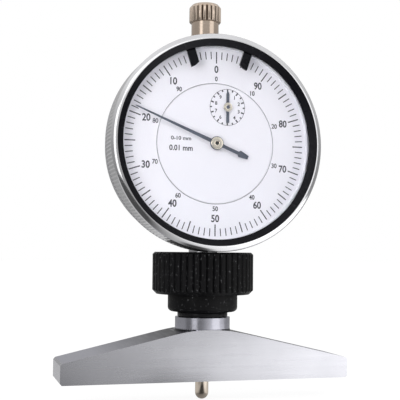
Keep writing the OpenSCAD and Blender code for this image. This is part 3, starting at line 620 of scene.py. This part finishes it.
class GAUGE_OT_seal_ring(bpy.types.Operator):
    """Makes the black ring between the boss and the clamp nut"""
    bl_idname = "gauge.seal_ring"
    bl_label = "Seal ring"

    def execute(self, context):
        low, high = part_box("seal_ring")
        neck_radius = high.x - 1.25 * MM
        bm = spun([(neck_radius, low.z), (high.x, low.z), (high.x, high.z),
                   (neck_radius, high.z)], 96)
        round_edges(bm, 0.35 * MM, 30, 4)
        add_piece("seal_ring_body", bm, [finish("black rubber")], "base",
                  ["seal_ring"])
        return {"FINISHED"}


class GAUGE_OT_clamp_nut(bpy.types.Operator):
    """Makes the black clamp nut with its straight ridges and plain collar"""
    bl_idname = "gauge.clamp_nut"
    bl_label = "Clamp nut"

    def execute(self, context):
        sizes = context.scene.gauge_sizes
        low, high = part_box("clamp_nut")
        radius = high.x
        collar = 9.65 * MM
        foot = 1.2 * MM
        knurl_low = low.z + 4.8 * MM
        lower = 1.1 * MM
        upper = 0.6 * MM
        bore = 6.36 * MM
        mouth = 4.35 * MM
        inner_step = high.z - 4.25 * MM
        ridge_share = 0.55
        foot_arc = [(collar - foot + foot * math.sin(a), low.z + foot - foot * math.cos(a))
                    for a in [math.radians(15 * i) for i in range(7)]]
        outline = (
            [(bore, low.z)] + foot_arc
            + [(collar, knurl_low)]
            + stretch((radius - lower, knurl_low), (radius, knurl_low + lower), 6)
            + [(radius, knurl_low + lower)]
            + stretch((radius, high.z - upper), (radius - upper, high.z), 5)
            + [(radius - upper, high.z), (mouth, high.z), (mouth, inner_step),
               (bore, inner_step)])
        bm = spun(outline, sizes.nut_ridges * 10)
        cut_grooves(bm, sizes.nut_ridges, sizes.nut_groove, radius,
                    knurl_low + 0.01 * MM, high.z, ridge_share)
        add_piece("clamp_nut_body", bm, [finish("black nut")], "clamp_nut",
                  ["clamp_nut"], 50)
        finish_node("split_sleeve", finish("bronze"))
        return {"FINISHED"}


# ---- stem, spindle and cap ----

class GAUGE_OT_spindle(bpy.types.Operator):
    """Makes the stem, the spindle with its bearings, and the ball-ended contact point"""
    bl_idname = "gauge.spindle"
    bl_label = "Stem, spindle and contact point"

    def execute(self, context):
        edge = context.scene.gauge_sizes.fine_edge
        low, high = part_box("contact_point")
        shank_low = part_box("spindle")[0].z
        radius = high.x
        screw = 1.2 * MM
        ball = [(radius * math.sin(a), low.z + radius - radius * math.cos(a))
                for a in [math.radians(7.5 * i) for i in range(13)]]
        outline = ball + [(radius, shank_low), (screw, shank_low), (screw, high.z), (0, high.z)]
        bm = spun(outline, 64)
        round_edges(bm, 0.12 * MM, 60, 2)
        add_piece("contact_point_body", bm, [finish("contact steel")], "spindle",
                  ["contact_point"])
        rounded_node("stem", "stem_body", finish("bright steel"), "indicator",
                     edge)
        rounded_node("upper_bush", "upper_bush_body", finish("bronze"), "indicator",
                     edge)
        for node in ("spindle", "guide_pin", "guide_rail", "spring_post"):
            finish_node(node, finish("bright steel"))
        finish_node("stem_bush", finish("bronze"))
        finish_node("return_spring", finish("spring wire"))
        return {"FINISHED"}


class GAUGE_OT_lifting_cap(bpy.types.Operator):
    """Makes the fluted lifting cap on top of the spindle"""
    bl_idname = "gauge.lifting_cap"
    bl_label = "Lifting cap"

    def execute(self, context):
        sizes = context.scene.gauge_sizes
        low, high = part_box("lifting_cap")
        radius = 4.45 * MM
        skirt = 3.85 * MM
        bore = 3.15 * MM
        socket = 2.0 * MM
        head_low = high.z - 5.3 * MM
        socket_top = head_low + 2.8 * MM
        bore_top = head_low - 0.2 * MM
        foot = 0.35 * MM
        chamfer = 1.0 * MM
        crown = (radius - chamfer * 0.75, high.z - 0.12 * MM)
        top = (radius - chamfer * 1.2, high.z)
        flute_share = 0.45
        edge = sizes.fine_edge
        outline = (
            [(bore, low.z), (skirt - edge, low.z), (skirt, low.z + edge), (skirt, head_low)]
            + stretch((radius - foot, head_low), (radius, head_low + foot), 4)
            + [(radius, head_low + foot)]
            + stretch((radius, high.z - chamfer), crown, 6)
            + stretch(crown, top, 3)
            + [top, (0, high.z), (0, socket_top)]
            + [(socket, socket_top), (socket, bore_top), (bore, bore_top)])
        bm = spun(outline, sizes.cap_flutes * 12)
        cut_grooves(bm, sizes.cap_flutes, sizes.cap_groove, radius,
                    head_low + 0.005 * MM, high.z, flute_share)
        # Faces deep in the flutes take painted shade.
        deepest = radius - sizes.cap_groove * 1.2
        shallowest = radius - sizes.cap_groove / 2
        for face in bm.faces:
            centre = face.calc_center_median()
            on_head = head_low < centre.z < high.z - chamfer
            if on_head and deepest < centre.xy.length < shallowest:
                face.material_index = 1
        add_piece("lifting_cap_body", bm, [finish("warm nickel"), finish("cap flute painted shade")],
                  "spindle", ["lifting_cap"], 50)
        return {"FINISHED"}


# ---- case and movement ----

class GAUGE_OT_case(bpy.types.Operator):
    """Makes the chromed case with its back cover and screws"""
    bl_idname = "gauge.case"
    bl_label = "Case"

    def execute(self, context):
        edge = context.scene.gauge_sizes.fine_edge
        rounded_node("case_body", "case_shell", finish("case chrome"), "indicator",
                     edge)
        rounded_node("back_cover", "back_cover_plate", finish("case chrome"), "indicator",
                     edge)
        rounded_node("cover_screws", "cover_screw_set", finish("bright steel"), "indicator",
                     edge)
        return {"FINISHED"}


class GAUGE_OT_movement(bpy.types.Operator):
    """Finishes the plates, arbors and wheels of the movement"""
    bl_idname = "gauge.movement"
    bl_label = "Movement"

    def execute(self, context):
        finishes = {
            "brass": ("movement_plate", "pillars", "rear_cock", "rack_wheel", "counter_wheel"),
            "bright steel": ("rack_arbor",),
            "dark pivot": ("centre_pinion", "counter_arbor"),
            "blued steel": ("plate_screws", "hairspring"),
            "spring wire": ("bezel_wire",),
        }
        for name, nodes in finishes.items():
            for node in nodes:
                finish_node(node, finish(name))
        return {"FINISHED"}


# ---- bezel ----

class GAUGE_OT_bezel(bpy.types.Operator):
    """Makes the turning bezel with its fine knurl, and the black ring in it"""
    bl_idname = "gauge.bezel"
    bl_label = "Bezel"

    def execute(self, context):
        sizes = context.scene.gauge_sizes
        rear, front = depth("bezel")
        radius = node_size("bezel").x / 2
        crystal_rear, crystal_front = depth("crystal")
        dial_rear = depth("scale_ring")[0]
        trim = node_size("trim_ring").x / 2
        plate = node_size("scale_ring").x / 2 + 0.05 * MM
        seat = node_size("crystal").x / 2 + 0.05 * MM
        case = node_size("case_body").x / 2 + 0.06 * MM
        flange = plate - 0.8 * MM
        flange_rear = 9.1 * MM
        bevel = 1.0 * MM
        bevel_turn = math.radians(44)
        lip = 0.05 * MM
        rear_edge = 0.8 * MM
        groove_low = rear + rear_edge
        groove_high = front - bevel - 0.25 * MM
        groove_end = 0.01 * MM
        ridge_share = 0.1
        outline = (
            [(case, rear)]
            + stretch((radius - rear_edge, rear), (radius, groove_low), 4)
            + [(radius, groove_low), (radius, groove_low + groove_end),
               (radius, groove_high - groove_end), (radius, groove_high)]
            + bulged((radius, front - bevel), (trim + lip, front), bevel_turn, 6)
            + [(trim + lip, front), (trim, front),
               (trim, crystal_front), (seat, crystal_front), (seat, crystal_rear),
               (plate, crystal_rear), (plate, dial_rear), (flange, dial_rear),
               (flange, flange_rear), (case, flange_rear)])
        bm = spun(outline, sizes.bezel_ridges * 4)
        cut_grooves(bm, sizes.bezel_ridges, sizes.bezel_groove, radius,
                    groove_low + groove_end / 2, groove_high - groove_end / 2, ridge_share)
        bm.transform(DIAL)
        add_piece("bezel_ring", bm, [finish("bezel chrome")], "bezel",
                  ["bezel"], 50)
        rounded_node("trim_ring", "trim_ring_body", finish("black trim"), "bezel",
                     sizes.fine_edge)
        finish_node("dial_spacer", finish("spacer lacquer"))
        return {"FINISHED"}


class GAUGE_OT_crystal(bpy.types.Operator):
    """Makes the clear crystal with its frosted edge"""
    bl_idname = "gauge.crystal"
    bl_label = "Crystal"

    def execute(self, context):
        rear, front = depth("crystal")
        radius = node_size("crystal").x / 2
        bm = spun([(0, rear), (radius, rear), (radius, front), (0, front)], 128)
        for face in bm.faces:
            on_rim = abs(face.normal.z) < 0.5
            face.material_index = int(on_rim)
        bm.transform(DIAL)
        add_piece("crystal_glass", bm, [finish("crystal"), finish("frosted edge")], "bezel",
                  ["crystal"])
        return {"FINISHED"}


class GAUGE_OT_marks(bpy.types.Operator):
    """Makes the two black tolerance marks"""
    bl_idname = "gauge.marks"
    bl_label = "Tolerance marks"

    def execute(self, context):
        edge = context.scene.gauge_sizes.fine_edge
        for side in ("left", "right"):
            rounded_node(f"mark_{side}", f"tolerance_mark_{side}", finish("black trim"),
                         f"mark_{side}", edge)
        return {"FINISHED"}


# ---- hands ----

class GAUGE_OT_hands(bpy.types.Operator):
    """Makes the pointer with its hub, and the small counter hand"""
    bl_idname = "gauge.hands"
    bl_label = "Hands"

    def execute(self, context):
        fine = 0.04 * MM
        rounded_node("main_pointer", "pointer_blade", finish("hand lacquer"), "pointer",
                     fine)
        rear, front = depth("pointer_hub")
        radius = node_size("pointer_hub").x / 2
        pivot = 0.5 * MM
        bm = spun([(pivot, rear), (radius, rear), (radius, front), (pivot, front)], 64)
        round_edges(bm, 0.12 * MM, 30, 3)
        bm.transform(DIAL)
        add_piece("pointer_hub_boss", bm, [finish("hub brass")], "pointer",
                  ["pointer_hub"])
        rounded_node("counter_hand", "counter_blade", finish("hand lacquer"), "counter",
                     fine)
        front = depth("counter_hand")[1]
        rear = front - 0.2 * MM
        top = front + 0.06 * MM
        radius = 1.2 * MM
        bm = spun([(pivot, rear), (radius, rear), (radius, top), (pivot, top)], 48)
        round_edges(bm, 0.06 * MM, 30, 3)
        bm.transform(DIAL @ Matrix.Translation((COUNTER_AT.x, COUNTER_AT.y, 0)))
        add_piece("counter_hub_boss", bm, [finish("hub brass")], "counter")
        return {"FINISHED"}


# ---- dial print ----

def add_bar(bm, centre, size, turn, face):
    """A thin printed bar on the dial. Turn is anticlockwise from upright."""
    placed = (Matrix.Translation((centre[0], centre[1], face + size[2] / 2))
              @ Matrix.Rotation(turn, 4, "Z") @ Matrix.Diagonal((*size, 1)))
    bmesh.ops.create_cube(bm, size=1, matrix=placed)


def around(radius, turn, centre=(0, 0)):
    """A point on the dial, at a turn anticlockwise from the top."""
    return centre[0] - radius * math.sin(turn), centre[1] + radius * math.cos(turn)


def add_ticks(bm, count, radii, width, thickness, face, centre=(0, 0)):
    """Radial ticks. Radii gives a tick's inner and outer radius and its share of the width."""
    for number in range(count):
        inner, outer, share = radii(number)
        turn = FULL_TURN * number / count
        spot = around((inner + outer) / 2, turn, centre)
        add_bar(bm, spot, (width * share, outer - inner, thickness), turn, face)


def add_circle(bm, radius, width, thickness, face, centre=(0, 0)):
    """A thin printed circle."""
    circle = spun([(radius, face), (radius + width, face), (radius + width, face + thickness),
                   (radius, face + thickness)], 128)
    circle.transform(Matrix.Translation((*centre, 0)))
    mesh = bpy.data.meshes.new("circle")
    circle.to_mesh(mesh)
    circle.free()
    bm.from_mesh(mesh)
    bpy.data.meshes.remove(mesh)


def add_text(bm, words, centre, height, face, thickness, narrow=1.0):
    """Upright lettering centred on a point of the dial, at a given height."""
    curve = bpy.data.curves.new("lettering", "FONT")
    curve.body = words
    curve.resolution_u = 4
    curve.extrude = 0.5
    bolder = 0.025
    curve.offset = bolder
    holder = bpy.data.objects.new("lettering", curve)
    bpy.context.scene.collection.objects.link(holder)
    bpy.context.view_layer.update()
    mesh = bpy.data.meshes.new_from_object(holder)
    bpy.data.objects.remove(holder)
    bpy.data.curves.remove(curve)
    xs = [v.co.x for v in mesh.vertices]
    ys = [v.co.y for v in mesh.vertices]
    scale = height / (max(ys) - min(ys))
    middle = ((max(xs) + min(xs)) / 2, (max(ys) + min(ys)) / 2)
    mesh.transform(
        Matrix.Translation((centre[0], centre[1], face + thickness / 2))
        @ Matrix.Diagonal((scale * narrow, scale, thickness, 1))
        @ Matrix.Translation((-middle[0], -middle[1], 0)))
    bm.from_mesh(mesh)
    bpy.data.meshes.remove(mesh)


class GAUGE_OT_scale_print(bpy.types.Operator):
    """Prints the hundred ticks and both rows of numerals on the turning scale ring"""
    bl_idname = "gauge.scale_print"
    bl_label = "Scale print"

    def execute(self, context):
        sizes = context.scene.gauge_sizes
        face = depth("scale_ring")[1]
        outer = 24.85 * MM
        inner = {10: 21.7 * MM, 5: 22.0 * MM, 1: 22.8 * MM}
        boldness = {10: 1.25, 5: 1.25, 1: 1}
        numeral_radius = 20.1 * MM
        numeral_narrow = 0.86
        small_radius = 17.5 * MM
        small_narrow = 0.9
        circle = node_size("centre_dial").x / 2 + 0.13 * MM
        circle_width = 0.08 * MM

        def radii(number):
            kind = 10 if number % 10 == 0 else 5 if number % 5 == 0 else 1
            return inner[kind], outer, boldness[kind]

        bm = bmesh.new()
        add_ticks(bm, 100, radii, sizes.tick, sizes.ink, face)
        for number in range(0, 100, 10):
            turn = FULL_TURN * number / 100
            add_text(bm, str(number), around(numeral_radius, turn), sizes.numeral, face,
                     sizes.ink, numeral_narrow)
            add_text(bm, str((100 - number) % 100), around(small_radius, turn),
                     sizes.small_numeral, face, sizes.ink, small_narrow)
        add_circle(bm, circle, circle_width, sizes.ink, face)
        bm.transform(DIAL)
        add_piece("scale_print", bm, [finish("ink")], "bezel")
        finish_node("scale_ring", finish("dial lacquer"))
        return {"FINISHED"}


class GAUGE_OT_centre_print(bpy.types.Operator):
    """Prints the counter's scale and the value of a division on the fixed centre of the dial"""
    bl_idname = "gauge.centre_print"
    bl_label = "Centre print"

    def execute(self, context):
        sizes = context.scene.gauge_sizes
        face = depth("centre_dial")[1]
        centre = tuple(COUNTER_AT)
        ring = 4.85 * MM
        ring_width = 0.1 * MM
        numeral_radius = 3.35 * MM
        numeral = 1.0 * MM
        long_tick = 0.8 * MM
        short_tick = 0.5 * MM
        boldness = 1.5
        words_at = -9.6 * MM
        # For each line of words: its place up the dial, its height and how narrow it is.
        lines = {"0.01 mm": (-1.5 * MM, 1.5 * MM, 0.92),
                 "0-10 mm": (1.1 * MM, 1.05 * MM, 1.1)}

        def radii(number):
            return ring - (long_tick if number % 2 == 0 else short_tick), ring, boldness

        bm = bmesh.new()
        add_ticks(bm, 20, radii, sizes.tick, sizes.ink, face, centre)
        for number in range(10):
            spot = around(numeral_radius, -FULL_TURN * number / 10, centre)
            add_text(bm, str(number), spot, numeral, face, sizes.ink)
        for words, (level, height, narrow) in lines.items():
            add_text(bm, words, (words_at, level), height, face, sizes.ink, narrow)
        add_circle(bm, ring, ring_width, sizes.ink, face, centre)
        bm.transform(DIAL)
        add_piece("centre_print", bm, [finish("ink")], "indicator")
        finish_node("centre_dial", finish("dial lacquer"))
        return {"FINISHED"}


# ---- stage ----

def place_camera(stage):
    """Stands the camera where the photographer stood."""
    turn = stage.camera_turn
    yaw = turn + stage.camera_yaw
    pitch = stage.camera_pitch
    ahead = Vector((-math.sin(yaw) * math.cos(pitch), math.cos(yaw) * math.cos(pitch),
                    math.sin(pitch)))
    right = Vector((math.cos(yaw), math.sin(yaw), 0))
    above = right.cross(ahead)
    lean = stage.camera_roll
    side = right * math.cos(lean) + above * math.sin(lean)
    top = above * math.cos(lean) - right * math.sin(lean)
    data = bpy.data.cameras.new("Camera")
    data.lens = stage.lens
    data.clip_start = 0.01
    camera = bpy.data.objects.new("Camera", data)
    bpy.context.scene.collection.objects.link(camera)
    axes = Matrix((side, top, -ahead)).transposed().to_4x4()
    spot = Vector((math.sin(turn), -math.cos(turn), 0)) * stage.camera_distance
    spot.z = stage.camera_height
    camera.matrix_world = Matrix.Translation(spot) @ axes
    bpy.context.scene.camera = camera


def add_lamp(name, turn, height, distance, width, tall, radiance, aim, mirrored=True):
    """A soft rectangular lamp that looks at the aim. Turn is from the front, to the right."""
    data = bpy.data.lights.new(name, "AREA")
    data.shape = "RECTANGLE"
    data.size = width
    data.size_y = tall
    data.energy = radiance * math.pi * width * tall
    lamp = bpy.data.objects.new(name, data)
    lamp.visible_camera = False
    lamp.visible_glossy = mirrored
    bpy.context.scene.collection.objects.link(lamp)
    a = math.radians(turn)
    spot = Vector((math.sin(a) * distance, -math.cos(a) * distance, height))
    lamp.matrix_world = (Matrix.Translation(spot)
                         @ (aim - spot).to_track_quat("-Z", "Y").to_matrix().to_4x4())


def axes_of(tree, place):
    """A place split into X, Y and Z."""
    parts = tree.nodes.new("ShaderNodeSeparateXYZ")
    tree.links.new(place, parts.inputs["Vector"])
    return parts.outputs


def studio_world(front, side, back, above):
    """White to the camera. Metal and glass see a gray studio that grows lighter above."""
    world = bpy.data.worlds.new("Studio")
    world.use_nodes = True
    tree = world.node_tree
    axes = axes_of(tree, tree.nodes.new("ShaderNodeTexCoord").outputs["Generated"])
    level = spread(tree, axes["Y"], -0.9, -0.3, front, side)
    for axis, low, high, extra in (("Y", 0.2, 0.9, back - side), ("Z", 0.0, 0.8, above - side)):
        level = number_math(tree, "ADD", level, spread(tree, axes[axis], low, high, 0, extra))
    path = tree.nodes.new("ShaderNodeLightPath")
    mix = tree.nodes.new("ShaderNodeMix")
    mix.data_type = "RGBA"
    mix.inputs["B"].default_value = (1, 1, 1, 1)
    tree.links.new(path.outputs["Is Camera Ray"], mix.inputs["Factor"])
    tree.links.new(level, mix.inputs["A"])
    tree.links.new(mix.outputs["Result"], tree.nodes["Background"].inputs["Color"])
    bpy.context.scene.world = world


def floor_material(left, right, rear):
    """Pale floor that reads white and takes a soft shadow.

    Metal sees it near the part alone: it grows lighter from left to right in front of the
    part, is even behind it, and holds a painted shadow, dim in an oval before the contact point.
    """
    made, tree, shader = surface("Pale floor", (0.9, 0.9, 0.9, 1), 0, 0.7)
    path = tree.nodes.new("ShaderNodeLightPath")
    white_share = number_math(tree, "MULTIPLY", path.outputs["Is Camera Ray"], 0.8)
    seen = tree.nodes.new("ShaderNodeEmission")
    seen.inputs["Strength"].default_value = 1.12
    white = mix_shaders(tree, white_share, shader.outputs["BSDF"], seen.outputs["Emission"])

    where = object_place(tree)
    axes = axes_of(tree, where)
    level = tree.nodes.new("ShaderNodeMix")
    tree.links.new(spread(tree, axes["Y"], -18 * MM, 0), level.inputs["Factor"])
    tree.links.new(spread(tree, axes["X"], -50 * MM, 78 * MM, left, right), level.inputs["A"])
    level.inputs["B"].default_value = rear
    # Painted shadow of the base, seen only in metal: a dim oval before the contact point.
    oval_centre = (-4 * MM, -22 * MM, CAD_BOX[0].z)
    oval_shape = (1, 0.5, 1)
    arm = vector_math(tree, "SUBTRACT", where, oval_centre)
    away = vector_math(tree, "LENGTH", vector_math(tree, "MULTIPLY", arm, oval_shape))
    painted_floor_shadow = spread(tree, away, 8 * MM, 16 * MM, 0.08, 1)
    mirrored = tree.nodes.new("ShaderNodeEmission")
    tree.links.new(number_math(tree, "MULTIPLY", level.outputs["Result"], painted_floor_shadow),
                   mirrored.inputs["Strength"])
    through = tree.nodes.new("ShaderNodeBsdfTransparent")
    reach = vector_math(tree, "LENGTH", where)
    near = mix_shaders(tree, spread(tree, reach, 200 * MM, 250 * MM),
                       mirrored.outputs["Emission"], through.outputs["BSDF"])
    whole = mix_shaders(tree, path.outputs["Is Glossy Ray"], white, near)
    tree.links.new(whole, tree.nodes["Material Output"].inputs["Surface"])
    return made


class GAUGE_OT_stage(bpy.types.Operator):
    """Sets up the floor, the lamps, the world and the camera"""
    bl_idname = "gauge.stage"
    bl_label = "Stage"

    def execute(self, context):
        stage = context.scene.gauge_stage
        bm = bmesh.new()
        half = stage.floor_size / 2
        bmesh.ops.create_grid(bm, x_segments=1, y_segments=1, size=half,
                              matrix=Matrix.Translation((0, 0, CAD_BOX[0].z)))
        mesh = bpy.data.meshes.new("floor")
        bm.to_mesh(mesh)
        bm.free()
        mesh.materials.append(floor_material(left=0.08, right=1.90, rear=0.6))
        floor = bpy.data.objects.new("floor", mesh)
        context.scene.collection.objects.link(floor)
        aim = Vector((0, 0, 45 * MM))
        add_lamp("Right lamp", turn=43, height=0.12, distance=0.55, width=0.36, tall=0.44,
                 radiance=0.75, aim=aim)
        add_lamp("Left lamp", turn=-48, height=0.12, distance=0.60, width=0.24, tall=0.44,
                 radiance=1.1, aim=aim)
        add_lamp("High lamp", turn=-20, height=0.45, distance=0.50, width=0.60, tall=0.26,
                 radiance=0.62, aim=aim)
        add_lamp("Near lamp", turn=-40, height=0.07, distance=0.19, width=0.08, tall=0.12,
                 radiance=5.5, aim=aim, mirrored=False)
        studio_world(front=0.38, side=0.30, back=0.34, above=0.85)
        place_camera(stage)
        context.scene.view_settings.view_transform = "Standard"
        return {"FINISHED"}


class GAUGE_PT_panel(bpy.types.Panel):
    """Lists the pieces of the depth gauge"""
    bl_idname = "GAUGE_PT_panel"
    bl_label = "Depth Gauge"
    bl_space_type = "VIEW_3D"
    bl_region_type = "UI"
    bl_category = "Depth Gauge"

    def draw(self, context):
        for piece in PIECES:
            self.layout.operator(piece.bl_idname)
        for group in ("gauge_sizes", "gauge_colours", "gauge_stage"):
            settings = getattr(context.scene, group)
            for name in settings.bl_rna.properties.keys():
                if name not in {"rna_type", "name"}:
                    self.layout.prop(settings, name)


PIECES = (GAUGE_OT_base, GAUGE_OT_seal_ring, GAUGE_OT_clamp_nut, GAUGE_OT_spindle,
          GAUGE_OT_lifting_cap, GAUGE_OT_case, GAUGE_OT_movement, GAUGE_OT_bezel,
          GAUGE_OT_crystal, GAUGE_OT_marks, GAUGE_OT_hands, GAUGE_OT_scale_print,
          GAUGE_OT_centre_print, GAUGE_OT_stage)
CLASSES = (GaugeSizes, GaugeColours, GaugeStage) + PIECES + (GAUGE_PT_panel,)


def register():
    for item in CLASSES:
        bpy.utils.register_class(item)
    bpy.types.Scene.gauge_sizes = PointerProperty(type=GaugeSizes)
    bpy.types.Scene.gauge_colours = PointerProperty(type=GaugeColours)
    bpy.types.Scene.gauge_stage = PointerProperty(type=GaugeStage)


def unregister():
    for name in ("gauge_sizes", "gauge_colours", "gauge_stage"):
        delattr(bpy.types.Scene, name)
    for item in reversed(CLASSES):
        bpy.utils.unregister_class(item)


def main():
    register()
    for piece in PIECES:
        group, name = piece.bl_idname.split(".")
        getattr(getattr(bpy.ops, group), name)()


if __name__ == "__main__":
    main()
